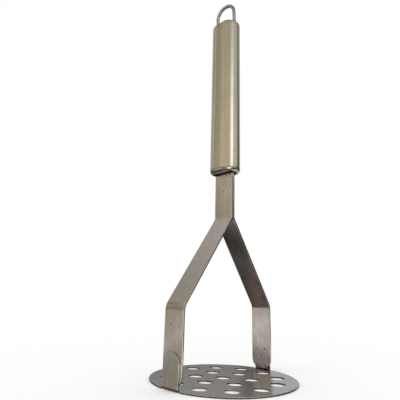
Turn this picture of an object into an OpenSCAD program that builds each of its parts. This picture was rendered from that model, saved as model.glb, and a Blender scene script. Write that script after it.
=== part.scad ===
// Potato masher: a perforated disc carried by two bent straps, with a hollow oval grip and a wire
// loop to hang it by. Lengths are in millimetres and angles in degrees.
// The origin is the centre of the disc's underside. +Z runs up the grip, the legs stand apart along
// X, and the straps and the grip are wide along Y.

/* [Mashing disc] */
// Diameter of the disc
disc_d = 90; // [84:1:110]
// Thickness of the disc's sheet
disc_t = 0.8; // [0.7:0.1:1.5]
// Diameter of each round hole
hole_d = 9.3; // [6:0.1:10]
// Width of plain sheet between the outer holes and the rim
rim_band = 6.75; // [5:0.25:9]
// Distance between the two circles of holes
ring_pitch = 16.35; // [14:0.05:18]
// Number of holes on the inner circle
inner_holes = 6; // [4:1:7]
// Number of holes on the outer circle
outer_holes = 12; // [8:1:14]
// Turn of the hole pattern from the line between the legs
pattern_turn = 2; // [0:1:15]

/* [Disc tabs] */
// Width of each tab that is folded up from the disc
tab_w = 12; // [9:0.1:13]
// Height of each tab's round top above the disc's underside
tab_h = 19.2; // [15:0.1:26]
// Inside radius of the fold
fold_r = 0.5; // [0.4:0.1:1.2]
// Width of the relief notch on each side of a tab
notch_w = 1.2; // [0.8:0.1:2]

/* [Legs] */
// Width of each strap
strap_w = 15; // [13:0.5:16]
// Thickness of each strap
strap_t = 1.5; // [1.2:0.1:2]
// Height of the corner where the straps part
neck_z = 100; // [90:1:110]
// Height of the corner where each strap turns upright again
knee_z = 43; // [36:1:52]
// Radius of the bend at the neck, to the middle of the strap
neck_bend_r = 6; // [1.5:0.5:8]
// Radius of the bend at the knee, to the middle of the strap
knee_bend_r = 7.5; // [1.5:0.5:10]
// Corner radius of each strap's rounded foot
foot_corner_r = 6; // [3:0.5:6]
// Clearance between the strap's end and the fold below it
foot_clear = 0.2; // [0.2:0.1:1]
// Length of the straps inside the grip
shank_len = 45; // [20:1:90]

/* [Grip] */
// Height of the grip's lower end
grip_z = 132.5; // [122:0.5:145]
// Length of the grip over its caps
grip_len = 122; // [95:1:140]
// Width of the oval grip
grip_w = 22.4; // [21:0.1:26]
// Thickness of the oval grip
grip_t = 16.8; // [15:0.1:19]
// Wall of the grip's tube
tube_wall = 0.8; // [0.6:0.1:1.2]

/* [End caps] */
// Thickness of each cap's end wall
cap_wall = 1; // [0.8:0.1:1.4]
// Radius of the lower cap's rounded edge
lower_edge_r = 2.3; // [1.5:0.1:3]
// Straight part of the lower cap between its rounded edge and the tube
lower_land = 0.2; // [0.2:0.1:2]
// Radius of the upper cap's rounded edge
upper_edge_r = 0.9; // [0.5:0.1:2]
// Straight part of the upper cap between its rounded edge and the tube
upper_land = 2.1; // [1:0.1:4]
// Length of each cap's collar inside the tube
collar_len = 4; // [2:0.5:8]
// Wall of each cap's collar
collar_wall = 0.8; // [0.6:0.1:1.1]
// Radial clearance between a collar and the tube
collar_fit = 0.05; // [0.02:0.01:0.1]
// Radius of the corner inside each cap
inside_r = 0.3; // [0.2:0.1:0.5]
// Gap between the straps' faces and the slot in the lower cap
slot_face_gap = 2.4; // [0.2:0.1:2.8]
// Gap between the straps' edges and the ends of the slot
slot_end_gap = 1; // [0.3:0.1:1.2]

/* [Hanging loop] */
// Diameter of the loop's wire
wire_d = 2.6; // [2:0.1:2.8]
// Gap between the wire and the inside of the upper cap's collar
loop_gap = 0.15; // [0.15:0.05:2]
// Height of the loop's top above the grip, measured along the loop
loop_h = 20.5; // [16:0.1:32]
// Lean of the loop from upright, towards the left leg
loop_lean = 4; // [0:0.5:6]
// Radial clearance between the wire and its holes in the upper cap
wire_fit = 0.05; // [0.02:0.01:0.1]
// Radius of the bend to each hook inside the cap, to the middle of the wire
hook_bend_r = 2; // [1.6:0.1:2.6]
// Length of each hook's straight end
hook_len = 2.5; // [1:0.5:3.5]
// Straight wire between the upper cap's wall and each hook's bend
hook_start = 0.2; // [0.2:0.1:2]

/* [Welds] */
// Diameter of the dimple at each spot weld
spot_d = 2.4; // [2:0.1:3.4]
// Depth of the dimple at each spot weld
spot_depth = 0.15; // [0.05:0.05:0.3]
// Distance between the two upper spots on a foot
spot_spread = 7; // [4:0.1:8]
// Height of the two upper spots on a foot
spot_upper_z = 13.5; // [12:0.1:15]
// Height of the lower spot on a foot
spot_lower_z = 9.7; // [8:0.1:11]
// Depth of the neck's upper spot below the grip
neck_spot_drop = 10; // [6:0.5:14]
// Distance down from the neck's upper spot to its lower one
neck_spot_pitch = 3.8; // [3:0.1:8]
// Sideways distance between the neck's two spots
neck_spot_stagger = 2.2; // [0:0.1:5]
// Width of lower cap's wall that each bead along the shank covers, beside the slot
shank_bead_land = 1; // [0.5:0.1:1.2]
// Height of each bead along the shank
shank_bead_h = 1.7; // [1:0.1:2.5]
// Length that the beads along the shank stop short of the straps' edges
shank_bead_inset = 1; // [0.5:0.1:4]
// Width of the bead round each side of the loop
loop_bead_w = 0.8; // [0.5:0.1:0.8]
// Height of the bead round each side of the loop
loop_bead_h = 1.8; // [0.8:0.1:3]

/* [Hidden] */
$fn = 96;

// Overrun of every cut past the solid that it cuts
over = 1;
steel = [0.66, 0.64, 0.58];
dull_steel = [0.55, 0.54, 0.52];

// Disc and tabs
disc_r = disc_d / 2;
outer_ring_r = disc_r - rim_band - hole_d / 2;
inner_ring_r = outer_ring_r - ring_pitch;
tab_x = sqrt(pow(disc_r, 2) - pow(tab_w / 2, 2));
fold_out_r = fold_r + disc_t;
fold_x = tab_x - fold_out_r;

// Legs: the straps' middle line, seen along Y
neck_x = strap_t / 2;
leg_x = tab_x - disc_t - strap_t / 2;
foot_z = disc_t + fold_r + foot_clear;
shank_top = grip_z + shank_len;
spread_a = atan((leg_x - neck_x) / (neck_z - knee_z));
neck_run = neck_bend_r * tan(spread_a / 2);
knee_run = knee_bend_r * tan(spread_a / 2);
// Flats along each bend of a strap
bend_steps = 10;

// Grip
end_r = grip_t / 2;
flat_w = grip_w - grip_t;
grip_top = grip_z + grip_len;
lower_cap_h = lower_edge_r + lower_land;
upper_cap_h = upper_edge_r + upper_land;
bore_r = end_r - tube_wall;
collar_r = bore_r - collar_fit;
cavity_r = collar_r - collar_wall;

// Hanging loop: the wire's middle line in the loop's own plane, with heights above the grip's top
side_y = flat_w / 2 + cavity_r - loop_gap - wire_d / 2;
crown_z = loop_h - wire_d / 2 - side_y;
upright_z = -cap_wall - hook_start;
wire_hole_r = wire_d / 2 + wire_fit;
// Facets round the wire wherever it is drawn as a mesh
wire_facets = 36;

// Round dimple in a face that looks along +X, with its middle at the origin
module spot() {
    ball_r = (pow(spot_d / 2, 2) + pow(spot_depth, 2)) / (2 * spot_depth);
    translate([ball_r - spot_depth, 0, 0]) sphere(ball_r);
}

// The three spots of a foot, at x = 0 in a face that looks along +X
module foot_spots() {
    for (side = [-1, 1]) translate([0, side * spot_spread / 2, spot_upper_z]) spot();
    translate([0, 0, spot_lower_z]) spot();
}

// Ring of round holes right through the disc
module hole_ring(count, radius, first_angle) {
    for (i = [0 : count - 1])
        rotate(first_angle + i * 360 / count)
            translate([radius, 0, -over])
                cylinder(d = hole_d, h = disc_t + 2 * over);
}

// Section of the fold and of the tongue that rises from it, seen along Y
module tab_section() {
    translate([fold_x, fold_out_r]) difference() {
        translate([0, -fold_out_r]) square([fold_out_r, tab_h]);
        circle(fold_r);
        translate([-fold_r, 0]) square([2 * fold_r, tab_h]);
        difference() {
            translate([0, -fold_out_r - over]) square(fold_out_r + over);
            circle(fold_out_r);
        }
    }
}

// Tab on the +X side: a folded tongue with a round top
module tab() {
    intersection() {
        rotate([90, 0, 0]) linear_extrude(tab_w, center = true) tab_section();
        rotate([90, 0, 90]) linear_extrude(disc_r) {
            translate([-tab_w / 2, 0]) square([tab_w, tab_h - tab_w / 2]);
            translate([0, tab_h - tab_w / 2]) circle(d = tab_w);
        }
    }
}

// Room cut from the rim round a tab: its own place and a notch on each side
module tab_relief() {
    relief_w = tab_w + 2 * notch_w;
    translate([fold_x, -relief_w / 2, -over]) cube([disc_r, relief_w, disc_t + 2 * over]);
    for (side = [-1, 1])
        translate([fold_x, side * (tab_w + notch_w) / 2, -over])
            cylinder(d = notch_w, h = disc_t + 2 * over);
}

// Perforated disc, one sheet with the two tabs that hold the legs
module mashing_disc() {
    color(dull_steel) difference() {
        union() {
            difference() {
                cylinder(r = disc_r, h = disc_t);
                for (side = [0, 1]) mirror([side, 0, 0]) tab_relief();
            }
            for (side = [0, 1]) mirror([side, 0, 0]) tab();
        }
        rotate(pattern_turn) {
            translate([0, 0, -over]) cylinder(d = hole_d, h = disc_t + 2 * over);
            hole_ring(inner_holes, inner_ring_r, 0);
            hole_ring(outer_holes, outer_ring_r, 180 / outer_holes);
        }
    }
}

// Points along an arc
function arc(middle, radius, from_a, to_a) =
    [for (i = [0 : bend_steps]) let (a = from_a + (to_a - from_a) * i / bend_steps)
        middle + radius * [cos(a), sin(a)]];

// Outline of one strap seen along Y: down the side next to the axis, and up the other side
module strap_outline() {
    half_t = strap_t / 2;
    neck_middle = [neck_x + neck_bend_r, neck_z + neck_run];
    knee_middle = [leg_x - knee_bend_r, knee_z - knee_run];
    polygon([
        [0, shank_top],
        each arc(neck_middle, neck_bend_r + half_t, 180, 180 + spread_a),
        each arc(knee_middle, knee_bend_r - half_t, spread_a, 0),
        [leg_x - half_t, foot_z],
        [leg_x + half_t, foot_z],
        each arc(knee_middle, knee_bend_r + half_t, 0, spread_a),
        each arc(neck_middle, neck_bend_r - half_t, 180 + spread_a, 180),
        [strap_t, shank_top]
    ]);
}

// What is cut from the foot's two corners to round them
module foot_corners() {
    for (side = [0, 1]) mirror([0, side, 0])
        translate([leg_x - strap_t, strap_w / 2 - foot_corner_r, foot_z - over]) difference() {
            cube([2 * strap_t, foot_corner_r + over, foot_corner_r + over]);
            translate([-over, 0, foot_corner_r + over]) rotate([0, 90, 0])
                cylinder(r = foot_corner_r, h = 2 * (strap_t + over));
        }
}

// Strap on the +X side, from its end inside the grip down to the disc's tab
module leg() {
    neck_spot_z = grip_z - neck_spot_drop;
    color(steel) difference() {
        rotate([90, 0, 0]) linear_extrude(strap_w, center = true) strap_outline();
        foot_corners();
        translate([leg_x - strap_t / 2, 0, 0]) mirror([1, 0, 0]) foot_spots();
        translate([strap_t, neck_spot_stagger / 2, neck_spot_z]) spot();
        translate([strap_t, -neck_spot_stagger / 2, neck_spot_z - neck_spot_pitch]) spot();
    }
}

module left_leg() {
    rotate(180) leg();
}

module right_leg() {
    leg();
}

// Sweeps a half outline, drawn from the axis outwards, round the grip's oval
module round_oval() {
    for (side = [-1, 1]) translate([0, side * flat_w / 2, 0]) rotate_extrude() children();
    rotate([90, 0, 0]) linear_extrude(flat_w, center = true) {
        children();
        mirror([1, 0]) children();
    }
}

// Half outline of a block with a rounded lower edge
module edge_outline(radius, height, edge_r) {
    intersection() {
        square([radius, height]);
        union() {
            translate([0, edge_r]) square([radius, height]);
            square([radius - edge_r, height]);
            translate([radius - edge_r, edge_r]) circle(edge_r);
        }
    }
}

// Cup that closes the tube: its end wall lies at z = 0 and its collar points up into the tube
module end_cap(edge_r, cap_h) {
    difference() {
        union() {
            round_oval() edge_outline(end_r, cap_h, edge_r);
            round_oval() translate([0, cap_wall]) square([collar_r, cap_h + collar_len - cap_wall]);
        }
        round_oval() translate([0, cap_wall]) edge_outline(cavity_r, cap_h + collar_len, inside_r);
    }
}

// Lower cap, with the slot that the shank passes through
module lower_cap() {
    slot = [2 * (strap_t + slot_face_gap), strap_w + 2 * slot_end_gap, 2 * (cap_wall + over)];
    color(steel) translate([0, 0, grip_z]) difference() {
        end_cap(lower_edge_r, lower_cap_h);
        cube(slot, center = true);
    }
}

module grip_tube() {
    tube_h = grip_len - lower_cap_h - upper_cap_h;
    color(steel) translate([0, 0, grip_z + lower_cap_h]) difference() {
        round_oval() square([end_r, tube_h]);
        translate([0, 0, -over]) round_oval() square([bore_r, tube_h + 2 * over]);
    }
}

// Turns what is drawn upright into the plane of the leaning loop
module leaning() {
    rotate([0, -loop_lean, 0]) children();
}

// Room for both sides of the loop, from inside the upper cap to well above it
module loop_bores() {
    depth = cap_wall + inside_r + over;
    leaning() for (side = [-1, 1])
        translate([0, side * side_y, -depth]) cylinder(r = wire_hole_r, h = depth + loop_h);
}

// Upper cap, with the two holes for the loop
module upper_cap() {
    color(steel) translate([0, 0, grip_top]) difference() {
        mirror([0, 0, 1]) end_cap(upper_edge_r, upper_cap_h);
        loop_bores();
    }
}

// Bend of wire in the plane x = 0, round the origin, inside a wedge whose [y, z] points are shares of
// the bend's radius
module wire_bend(radius, wedge_shares) {
    rotate([90, 0, 90]) intersection() {
        rotate_extrude() translate([radius, 0]) circle(d = wire_d, $fn = wire_facets);
        linear_extrude(2 * wire_d, center = true) polygon(radius * wedge_shares);
    }
}

// Straight piece of wire along +Z
module wire(length) {
    cylinder(d = wire_d, h = length, $fn = wire_facets);
}

// The loop's +Y side: hook and upright
module loop_side() {
    translate([0, side_y - hook_bend_r, upright_z]) {
        translate([0, 0, -hook_bend_r]) rotate([90, 0, 0]) wire(hook_len);
        wire_bend(hook_bend_r, [[0, 0], [0, -3], [3, -3], [3, 0]]);
    }
    translate([0, side_y, upright_z]) wire(crown_z - upright_z);
}

// Wire loop, bent from one length of wire, whose ends are hooked under the upper cap
module hanging_loop() {
    color(dull_steel) translate([0, 0, grip_top]) leaning() {
        for (side = [0, 1]) mirror([0, side, 0]) loop_side();
        translate([0, 0, crown_z]) wire_bend(side_y, [[3, 0], [3, 3], [-3, 3], [-3, 0]]);
    }
}

// Beads along the shank's two wide faces, on the inside of the lower cap
module shank_welds() {
    bead_len = strap_w - 2 * shank_bead_inset;
    bead_w = slot_face_gap + shank_bead_land;
    color(dull_steel) for (side = [0, 1]) mirror([side, 0, 0])
        translate([strap_t, 0, grip_z + cap_wall]) rotate([90, 0, 0])
            linear_extrude(bead_len, center = true)
                polygon([[0, 0], [bead_w, 0], [0, shank_bead_h]]);
}

// Small bead round each side of the loop, on top of the upper cap
module loop_welds() {
    bead_r = wire_hole_r + loop_bead_w;
    cone_h = bead_r * loop_bead_h / loop_bead_w;
    color(dull_steel) translate([0, 0, grip_top]) difference() {
        for (side = [-1, 1]) translate([0, side * side_y, 0]) cylinder(r1 = bead_r, r2 = 0, h = cone_h);
        loop_bores();
    }
}

mashing_disc();
left_leg();
right_leg();
lower_cap();
grip_tube();
upper_cap();
hanging_loop();
shank_welds();
loop_welds();
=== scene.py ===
import bpy
from math import sin, cos, radians
from mathutils import Matrix, Vector


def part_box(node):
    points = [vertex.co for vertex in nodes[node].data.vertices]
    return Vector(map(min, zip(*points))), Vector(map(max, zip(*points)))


# Lengths are in metres, angles in degrees, and bearings run from +X towards +Y. Colours are linear.
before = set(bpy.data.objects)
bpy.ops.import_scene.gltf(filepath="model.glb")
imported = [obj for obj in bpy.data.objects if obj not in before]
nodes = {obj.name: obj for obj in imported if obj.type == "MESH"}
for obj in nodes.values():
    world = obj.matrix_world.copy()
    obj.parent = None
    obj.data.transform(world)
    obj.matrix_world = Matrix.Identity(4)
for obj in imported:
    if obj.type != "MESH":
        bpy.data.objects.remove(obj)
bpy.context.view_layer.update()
scene = bpy.context.scene


# ---------------------------------------------------------------- camera

# The photograph's viewing angle, fitted to the disc, the straps and the grip
view_azimuth, view_elevation, view_roll = 47.101, -14.979, 1.581
# Place of the camera from the origin, along its own axes
camera_right, camera_up, camera_back = -0.014135, 0.109628, 0.221599
# Width of the photograph and focal length, both in its pixels
photo_w, focal = 400, 361.631
# Width of the sensor, in millimetres
sensor_w = 36
nearest_seen = 0.005


def camera():
    azimuth, elevation, roll = (radians(a) for a in (view_azimuth, view_elevation, view_roll))
    z_axis = Vector((-sin(azimuth) * cos(elevation), -cos(azimuth) * cos(elevation),
                     sin(elevation)))
    level = Vector((cos(azimuth), -sin(azimuth), 0))
    upright = z_axis.cross(level)
    x_axis = level * cos(roll) + upright * sin(roll)
    y_axis = upright * cos(roll) - level * sin(roll)
    data = bpy.data.cameras.new("camera")
    data.sensor_width = sensor_w
    data.lens = sensor_w * focal / photo_w
    data.clip_start = nearest_seen
    obj = bpy.data.objects.new("camera", data)
    scene.collection.objects.link(obj)
    obj.matrix_world = Matrix((x_axis, y_axis, z_axis)).transposed().to_4x4()
    obj.matrix_world.translation = z_axis * camera_back + x_axis * camera_right + y_axis * camera_up
    scene.camera = obj


# ---------------------------------------------------------------- node helpers

# The range that nearly all of a noise texture's values lie in
noise_low, noise_high = 0.3, 0.7


class Nodes:
    """Adds and links the nodes of one material or world"""

    def __init__(self, owner):
        owner.use_nodes = True
        self.tree = owner.node_tree
        self.tree.nodes.clear()

    def add(self, kind, inputs=None, **settings):
        node = self.tree.nodes.new(kind)
        for name, value in settings.items():
            setattr(node, name, value)
        for name, value in (inputs or {}).items():
            self.put(value, node.inputs[name])
        return node

    def put(self, value, socket):
        if isinstance(value, bpy.types.NodeSocket):
            self.tree.links.new(value, socket)
        else:
            socket.default_value = value

    def math(self, operation, a, b=0.0):
        node = self.add("ShaderNodeMath", operation=operation)
        self.put(a, node.inputs[0])
        self.put(b, node.inputs[1])
        return node.outputs[0]

    def distance(self, a, b):
        return self.add("ShaderNodeVectorMath", {0: a, 1: b}, operation="DISTANCE").outputs["Value"]

    def axis(self, vector, name):
        return self.add("ShaderNodeSeparateXYZ", {"Vector": vector}).outputs[name]

    def scaled(self, vector, scale):
        return self.add("ShaderNodeMapping", {"Vector": vector, "Scale": scale}).outputs[0]

    def noise(self, vector, scale, detail, roughness):
        return self.add("ShaderNodeTexNoise", {"Vector": vector, "Scale": scale, "Detail": detail,
                                               "Roughness": roughness}).outputs["Fac"]

    def span(self, value, low, high, from_low=noise_low, from_high=noise_high, smooth=False):
        """Turns a value between from_low and from_high into one between low and high"""
        node = self.add("ShaderNodeMapRange", {"Value": value, "To Min": low, "To Max": high,
                                               "From Min": from_low, "From Max": from_high})
        if smooth:
            node.interpolation_type = "SMOOTHSTEP"
        return node.outputs[0]

    def waver(self, noise, middle, depth):
        """Turns noise into a value that wavers by depth round its middle"""
        return self.span(noise, middle - depth, middle + depth)

    def mix(self, factor, a, b, blend="MIX"):
        node = self.add("ShaderNodeMix", data_type="RGBA", blend_type=blend)
        self.put(factor, node.inputs[0])
        self.put(a, node.inputs[6])
        self.put(b, node.inputs[7])
        return node.outputs[2]

    def finish(self, shader, output="ShaderNodeOutputMaterial"):
        self.put(shader.outputs[0], self.add(output).inputs[0])


# ---------------------------------------------------------------- studio

white = (1, 1, 1, 1)
# Colour with which the floor lights the object. It is seen as white.
floor_colour = (0.8, 0.8, 0.8, 1)
floor_half, floor_z, floor_card_z = 3.0, -0.0002, -0.0001
card_ring_r = 0.8
card_steps, floor_card_steps = 24, 32


# Light of one colour at the lower of two heights and of another at the upper one
def emission(name, low_colour, high_colour, heights):
    material = bpy.data.materials.new(name)
    nt = Nodes(material)
    height = nt.axis(nt.add("ShaderNodeTexCoord").outputs["Object"], "Z")
    colour = nt.mix(nt.span(height, 0, 1, *heights), (*low_colour, 1), (*high_colour, 1))
    nt.finish(nt.add("ShaderNodeEmission", {"Color": colour, "Strength": 1.0}))
    return material


def stage_mesh(name, points, faces, material):
    mesh = bpy.data.meshes.new(name)
    mesh.from_pydata(points, [], faces)
    mesh.materials.append(material)
    obj = bpy.data.objects.new(name, mesh)
    scene.collection.objects.link(obj)
    return obj


def only_reflected(obj):
    obj.visible_camera = obj.visible_diffuse = obj.visible_shadow = obj.visible_transmission = False


# Curved card that only reflections see, standing round the object from one bearing to another. Its
# colour grades from its lower edge to its upper one, and lean turns its two ends at the top.
def card(name, bearings, heights, low_colour, high_colour=None, lean=(0, 0), radius=card_ring_r):
    ends = bearings, [bearing + turn for bearing, turn in zip(bearings, lean)]
    points = []
    for i in range(card_steps + 1):
        for z, (first, last) in zip(heights, ends):
            a = radians(first + (last - first) * i / card_steps)
            points.append((radius * cos(a), radius * sin(a), z))
    faces = [(2 * i, 2 * i + 2, 2 * i + 3, 2 * i + 1) for i in range(card_steps)]
    light = emission(name, low_colour, high_colour or low_colour, heights)
    only_reflected(stage_mesh(name, points, faces, light))


# Flat ring sector, on the floor or overhead, that only reflections see
def floor_card(name, bearings, radii, colour, height=floor_card_z):
    points = []
    for i in range(floor_card_steps + 1):
        a = radians(bearings[0] + (bearings[1] - bearings[0]) * i / floor_card_steps)
        points += [(r * cos(a), r * sin(a), height) for r in radii]
    faces = [(2 * i, 2 * i + 1, 2 * i + 3, 2 * i + 2) for i in range(floor_card_steps)]
    only_reflected(stage_mesh(name, points, faces, emission(name, colour, colour, (0, 1))))


def world_light():
    world = bpy.data.worlds.new("world")
    scene.world = world
    nt = Nodes(world)
    nt.finish(nt.add("ShaderNodeBackground", {"Color": white, "Strength": 1.0}),
              "ShaderNodeOutputWorld")


def floor():
    material = bpy.data.materials.new("floor")
    nt = Nodes(material)
    path = nt.add("ShaderNodeLightPath").outputs
    seen = nt.math("MAXIMUM", path["Is Glossy Ray"], path["Is Transmission Ray"])
    seen = nt.math("MAXIMUM", path["Is Camera Ray"], seen)
    nt.finish(nt.add("ShaderNodeBsdfDiffuse", {"Color": nt.mix(seen, floor_colour, white)}))
    corners = [(x * floor_half, y * floor_half, floor_z)
               for x, y in ((-1, -1), (1, -1), (1, 1), (-1, 1))]
    stage_mesh("floor", corners, [(0, 1, 2, 3)], material)


# What the steel reflects. Each card has its bearings, its heights, and its colour or its lower and
# its upper colour.
def cards():
    # Cards up to low light the disc and the straps, and those from mid to top light the grip. A
    # card at front stands just before the ring and hides what lies behind it.
    base, low, mid, bend, top, high = 0.07, 0.3, 0.42, 0.66, 1.1, 1.7
    front = card_ring_r - 0.01
    grey, pale = (0.63, 0.61, 0.58), (0.70, 0.68, 0.66)
    black, glint = (0.07, 0.06, 0.05), (2.6, 2.5, 2.4)
    card("card_grey", (70, 92), (low, high), grey)
    card("card_edge", (92, 118), (low, bend), grey)
    card("card_bend", (92, 118), (bend, high), (0.42, 0.40, 0.375), (0.99, 0.95, 0.91))
    card("card_grey_low", (70, 118), (0, low), (0.22, 0.21, 0.20), (0.30, 0.29, 0.28))
    card("card_back", (32, 70), (low, high), grey)
    card("card_back_low", (32, 70), (0, low), (0.105, 0.098, 0.09), (0.50, 0.49, 0.48))
    card("card_brown", (128, 139.6), (low, top), (0.38, 0.31, 0.23), (0.42, 0.37, 0.29),
         lean=(12, 1.9), radius=front)
    card("card_knee", (118, 135), (0.118, 0.19), (0.27, 0.245, 0.195), (0.38, 0.35, 0.30),
         radius=0.2)
    card("card_stand", (32.4, 35.6), (0.05, low), (0.10, 0.10, 0.09), (0.16, 0.15, 0.14),
         radius=front)
    card("card_side_base", (118, 141), (0, base), (0.66, 0.60, 0.51), (0.40, 0.36, 0.31),
         radius=front)
    card("card_side_low", (118, 141), (0, low), (0.32, 0.275, 0.24), (0.42, 0.37, 0.31))
    card("card_side_far", (141, 150), (0, low), (0.22, 0.18, 0.16), (0.60, 0.55, 0.46))
    card("card_side_glow", (142, 154), (0, base), (0.95, 0.93, 0.94), radius=front)
    card("card_beige", (118, 241), (low, top), (0.88, 0.81, 0.61), (0.62, 0.58, 0.42))
    card("card_beige_low", (150, 241), (0, low), (0.74, 0.68, 0.56), (0.76, 0.70, 0.57))
    card("card_glint", (234, 250), (0, base), glint, radius=front)
    card("card_shoulder", (229, 241), (mid, top), (1.10, 1.03, 0.88), (0.72, 0.68, 0.56),
         lean=(3, 4), radius=front)
    card("softbox", (241, 265.3), (mid, top), (2.45, 2.36, 2.18), (0.42, 0.405, 0.38),
         lean=(4, 4), radius=front)
    card("card_light", (264, 306), (mid, top), (0.95, 0.93, 0.90), (0.66, 0.64, 0.59))
    card("card_dusk", (306, 320), (mid, top), (0.64, 0.61, 0.56), (0.42, 0.40, 0.36))
    card("card_dark", (320, 350), (mid, top), (0.20, 0.175, 0.15), (0.42, 0.40, 0.335))
    card("card_beside_low", (241, 300), (base, mid), (0.62, 0.58, 0.50), (0.66, 0.62, 0.54))
    card("card_dark_low", (300, 350), (0, mid), black)
    card("card_pale", (350, 392), (low, high), pale)
    card("card_pale_low", (350, 392), (0, low), (0.43, 0.43, 0.435), (0.74, 0.745, 0.76))
    ceiling_r, ceiling_z = 2.4, 2.0
    floor_card("ceiling", (0, 360), (0, ceiling_r), (0.36, 0.355, 0.33), height=ceiling_z)

    # Each floor card has its bearings, its inner and outer radius, and its colour. The first ends
    # just past the disc, and the second is what the walls of the front holes reflect.
    disc_side, ring = 0.0485, card_ring_r
    dark, shade, brown = (0.045, 0.038, 0.034), (0.105, 0.095, 0.088), (0.40, 0.35, 0.28)
    floor_card("floor_under", (0, 360), (0, disc_side), shade)
    floor_card("floor_holes", (180, 250), (0.018, 0.043), (0.30, 0.285, 0.27),
               height=floor_card_z / 2)
    floor_card("floor_dark", (30, 124), (disc_side, 0.095), shade)
    floor_card("floor_dark_far", (30, 123), (0.095, 0.17), dark)
    floor_card("floor_dusk_near", (124, 136), (disc_side, 0.095), (0.47, 0.44, 0.40))
    floor_card("floor_dusk_side", (123, 136), (0.095, 0.12), (0.56, 0.52, 0.48))
    floor_card("floor_dusk", (127, 134), (0.12, 0.27), (0.22, 0.20, 0.18))
    floor_card("floor_grey", (30, 124), (0.17, ring), (0.26, 0.24, 0.225))
    floor_card("floor_beige", (141, 178), (disc_side, 0.27), (0.47, 0.425, 0.34))
    floor_card("floor_beige_far", (124, 140), (0.27, ring), (0.55, 0.505, 0.42))
    floor_card("floor_brown", (150, 205), (0.27, ring), brown)
    floor_card("floor_brown_near", (178, 205), (0.09, 0.27), brown)
    floor_card("floor_pale", (205, 234), (0.2, ring), (1.3, 1.25, 1.17))
    floor_card("floor_glint", (205, 250), (0.09, 0.2), glint)
    floor_card("floor_glint_far", (234, 250), (0.2, ring), glint)
    floor_card("floor_edge", (250, 311), (0.09, ring), black)
    floor_card("floor_edge_far", (326, 350), (0.18, ring), black)


# ---------------------------------------------------------------- materials

# How much lines, specks and streaks lighten and darken the steel, and lines roughen and smooth it
line_shade, speck_shade, streak_shade, line_roughness = 0.05, 0.03, 0.08, 0.008
# Specks for each patch of mottle, and the streaks' scale as a share of the grain's
speck_count, streak_share = 5, 0.22
bump_depth = 0.0001
# A mark's core and the raggedness of its edge, as shares of its radius, and how much it roughens
mark_core, mark_ragged, mark_roughness = 0.3, 0.3, 0.15
# A broad tint's core, as a share of its radius, and how gradually it ends where the steel turns
# away
tint_and_shade_core, tint_and_shade_turn = 0.2, 0.1
# How dark a line round the part is, and where its darkness starts and ends, as shares of half its
# width
dark_line_shade, dark_line_core, dark_line_end = 0.45, 0.5, 1.5


# Bare steel. grain is the scale of the noise along each axis, and the axis with the smallest one
# runs along the grain. marks are small dark spots, each a centre, a radius and the shade in its
# middle; they serve for weld scorches and for painted shade in folds. Dark lines round the part
# are each a height and half its width. Broad tints on what faces -X are each a centre, a radius
# and a colour; they serve for heat tints and for painted shade.
def steel(name, colour, tint, roughness, grain, bump, mottle_size, marks=(), dark_lines=(), tints_and_shade=()):
    material = bpy.data.materials.new(name)
    nt = Nodes(material)
    spot = nt.add("ShaderNodeTexCoord").outputs
    place = spot["Object"]
    lines = nt.noise(nt.scaled(place, grain), 1.0, 3.0, 0.6)
    patches = nt.noise(place, 1 / mottle_size, 3.0, 0.55)
    specks = nt.noise(place, speck_count / mottle_size, 2.0, 0.5)
    streaks = nt.noise(nt.scaled(place, [streak_share * step for step in grain]), 1.0, 2.0, 0.5)
    base = nt.mix(nt.span(patches, 0, 1), (*colour, 1), (*tint, 1))
    shade = nt.math("MULTIPLY", nt.waver(lines, 1, line_shade), nt.waver(specks, 1, speck_shade))
    shade = nt.math("MULTIPLY", shade, nt.waver(streaks, 1, streak_shade))
    rough = nt.math("ADD", nt.span(patches, *roughness), nt.waver(lines, 0, line_roughness))
    for centre, radius, middle in marks:
        reach = mark_core * radius, radius
        away = nt.math("ADD", nt.distance(place, centre), nt.waver(specks, 0, mark_ragged * radius))
        shade = nt.math("MULTIPLY", shade, nt.span(away, middle, 1, *reach, smooth=True))
        rough = nt.math("ADD", rough, nt.span(away, mark_roughness, 0, *reach))
    for height, half_w in dark_lines:
        away = nt.math("ABSOLUTE", nt.math("SUBTRACT", nt.axis(place, "Z"), height))
        reach = dark_line_core * half_w, dark_line_end * half_w
        shade = nt.math("MULTIPLY", shade, nt.span(away, dark_line_shade, 1, *reach, smooth=True))
    grey = nt.add("ShaderNodeCombineColor", {"Red": shade, "Green": shade, "Blue": shade})
    base = nt.mix(1.0, base, grey.outputs[0], "MULTIPLY")
    for centre, radius, tone in tints_and_shade:
        near = nt.span(nt.distance(place, centre), 1, 0, tint_and_shade_core * radius, radius, smooth=True)
        facing = nt.span(nt.axis(spot["Normal"], "X"), 1, 0, -tint_and_shade_turn, tint_and_shade_turn)
        base = nt.mix(nt.math("MULTIPLY", near, facing), base, (*tone, 1), "MULTIPLY")
    bumps = nt.add("ShaderNodeBump", {"Height": lines, "Strength": bump, "Distance": bump_depth})
    nt.finish(nt.add("ShaderNodeBsdfPrincipled", {"Base Color": base, "Metallic": 1.0,
                                                  "Roughness": rough, "Normal": bumps.outputs[0]}))
    return material


# Marks on a face that looks along X, from rows of Y, Z, radius and shade
def face_marks(x, *rows):
    return [((x, y, z), radius, middle) for y, z, radius, middle in rows]


# Marks on a face that looks along Z, from rows of X, Y, radius and shade
def flat_marks(z, *rows):
    return [((x, y, z), radius, middle) for x, y, radius, middle in rows]


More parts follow.
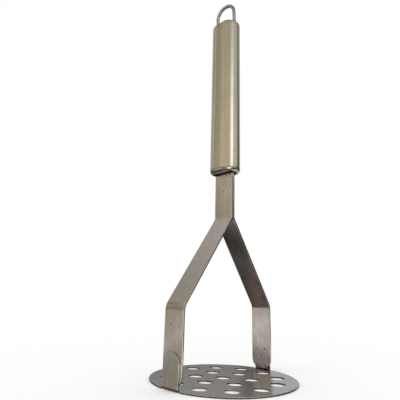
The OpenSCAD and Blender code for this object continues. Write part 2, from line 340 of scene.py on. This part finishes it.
def dress():
    tube_low, tube_high = (corner[2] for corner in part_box("grip_tube"))
    cap_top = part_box("upper_cap")[1][2]
    joint_half, rim_half, rim_drop = 0.0002, 0.0008, 0.0005
    fine = 2500
    strap_grain = fine, fine, 80
    grip_look = ((0.50, 0.47, 0.42), (0.46, 0.43, 0.37), (0.12, 0.17), (fine, fine, 60), 0.05,
                 0.012)
    grip = steel("grip_steel", *grip_look)
    # The lower cap is a darker, browner copy of the grip's steel: painted shade on the grip's lower
    # end
    low_cap = steel("low_cap_steel", (0.42, 0.38, 0.34), (0.35, 0.31, 0.26), (0.14, 0.22),
                    (1200, 1200, 1200), 0.08, 0.005, dark_lines=((tube_low, joint_half),))
    # The top cap darkens along its joint with the tube and along a line just below its top edge
    top_cap = steel("top_cap_steel", *grip_look,
                    dark_lines=((tube_high, joint_half), (cap_top - rim_drop, rim_half)))

    # Spot welds scorch the neck, the shin and the right foot
    neck_marks = face_marks(-0.0015, (-0.0024, 0.1229, 0.0008, 0.8), (-0.0001, 0.1197, 0.0010, 0.7))
    shin_marks = face_marks(-0.0438, (0.0025, 0.0334, 0.0012, 0.75), (-0.0043, 0.0321, 0.0010, 0.8),
                            (-0.0026, 0.0223, 0.0009, 0.75))
    left = steel("left_leg_steel", (0.516, 0.484, 0.444), (0.474, 0.444, 0.40), (0.18, 0.24),
                 strap_grain, 0.02, 0.007, marks=neck_marks + shin_marks)
    # The right foot's last three marks are painted shade low in its fold
    right_marks = face_marks(0.0424, (0.0039, 0.0135, 0.0010, 0.7), (-0.0029, 0.0142, 0.0014, 0.6),
                             (0.0002, 0.0096, 0.0013, 0.65), (-0.0035, 0.0025, 0.0022, 0.55),
                             (0.0005, 0.0021, 0.0018, 0.55), (0.004, 0.0025, 0.0020, 0.55))
    # The first tint is a pink heat tint that also paints shade low on the right slope's inner face;
    # the second paints shade higher up the slope and on the neck
    right_tints_and_shade = (((0.034, 0, 0.054), 0.030, (0.70, 0.60, 0.59)),
                    ((0.008, 0, 0.092), 0.028, (0.44, 0.455, 0.46)))
    # The right leg's steel is a lighter copy of the left leg's, painted light on the same strap
    # steel
    right = steel("right_leg_steel", (0.61, 0.57, 0.54), (0.545, 0.505, 0.475), (0.17, 0.23),
                  strap_grain, 0.005, 0.007, marks=right_marks, tints_and_shade=right_tints_and_shade)
    # The disc's first three marks are painted shade round the right fold; the last darkens the disc
    # beside the left fold
    sheet_marks = flat_marks(0.0008, (0.042, -0.0035, 0.0050, 0.4), (0.0425, 0.001, 0.0046, 0.4),
                             (0.0425, 0.005, 0.0038, 0.4), (-0.0432, 0.0072, 0.0016, 0.55))
    sheet = steel("sheet_steel", (0.47, 0.46, 0.45), (0.42, 0.41, 0.40), (0.18, 0.24),
                  (60, fine, fine), 0.08, 0.012, marks=sheet_marks)
    wire = steel("wire_steel", (0.40, 0.405, 0.415), (0.31, 0.315, 0.325), (0.14, 0.22),
                 (1500, 1500, 200), 0.05, 0.005)
    bead_grain = (900, 900, 900)
    bead = steel("bead_steel", (0.44, 0.43, 0.41), (0.30, 0.28, 0.26), (0.25, 0.4), bead_grain,
                 0.4, 0.002)
    # The shank welds are painted nearly black: painted shade in the slot's gap, where they show
    slot_shade = steel("slot_shade_steel", (0.13, 0.11, 0.095), (0.09, 0.075, 0.065), (0.4, 0.55),
                     bead_grain, 0.4, 0.002)
    for name, material in {"mashing_disc": sheet, "left_leg": left, "right_leg": right,
                           "lower_cap": low_cap, "grip_tube": grip, "upper_cap": top_cap,
                           "hanging_loop": wire, "shank_welds": slot_shade,
                           "loop_welds": bead}.items():
        nodes[name].data.materials.clear()
        nodes[name].data.materials.append(material)


# ---------------------------------------------------------------- edges

# Rounds a node's sharp edges, as deburring does: joins its triangles into flat faces, bevels the
# edges that turn by more than the sharp angle, and keeps the flat faces' shading flat
def soften(name, width):
    merge_distance, flat_angle, sharp_angle = 1e-6, 0.5, 35
    segments, flat_weight = 3, 80
    add = nodes[name].modifiers.new
    add("weld", "WELD").merge_threshold = merge_distance
    flat = add("flat", "DECIMATE")
    flat.decimate_type, flat.angle_limit = "DISSOLVE", radians(flat_angle)
    bevel = add("bevel", "BEVEL")
    bevel.width, bevel.segments = width, segments
    bevel.limit_method, bevel.angle_limit = "ANGLE", radians(sharp_angle)
    bevel.use_clamp_overlap = False
    add("normal", "WEIGHTED_NORMAL").weight = flat_weight


camera()
world_light()
floor()
cards()
dress()
for name, width in {"left_leg": 0.00045, "right_leg": 0.0003, "mashing_disc": 0.00022}.items():
    soften(name, width)

scene.view_settings.view_transform = "Standard"
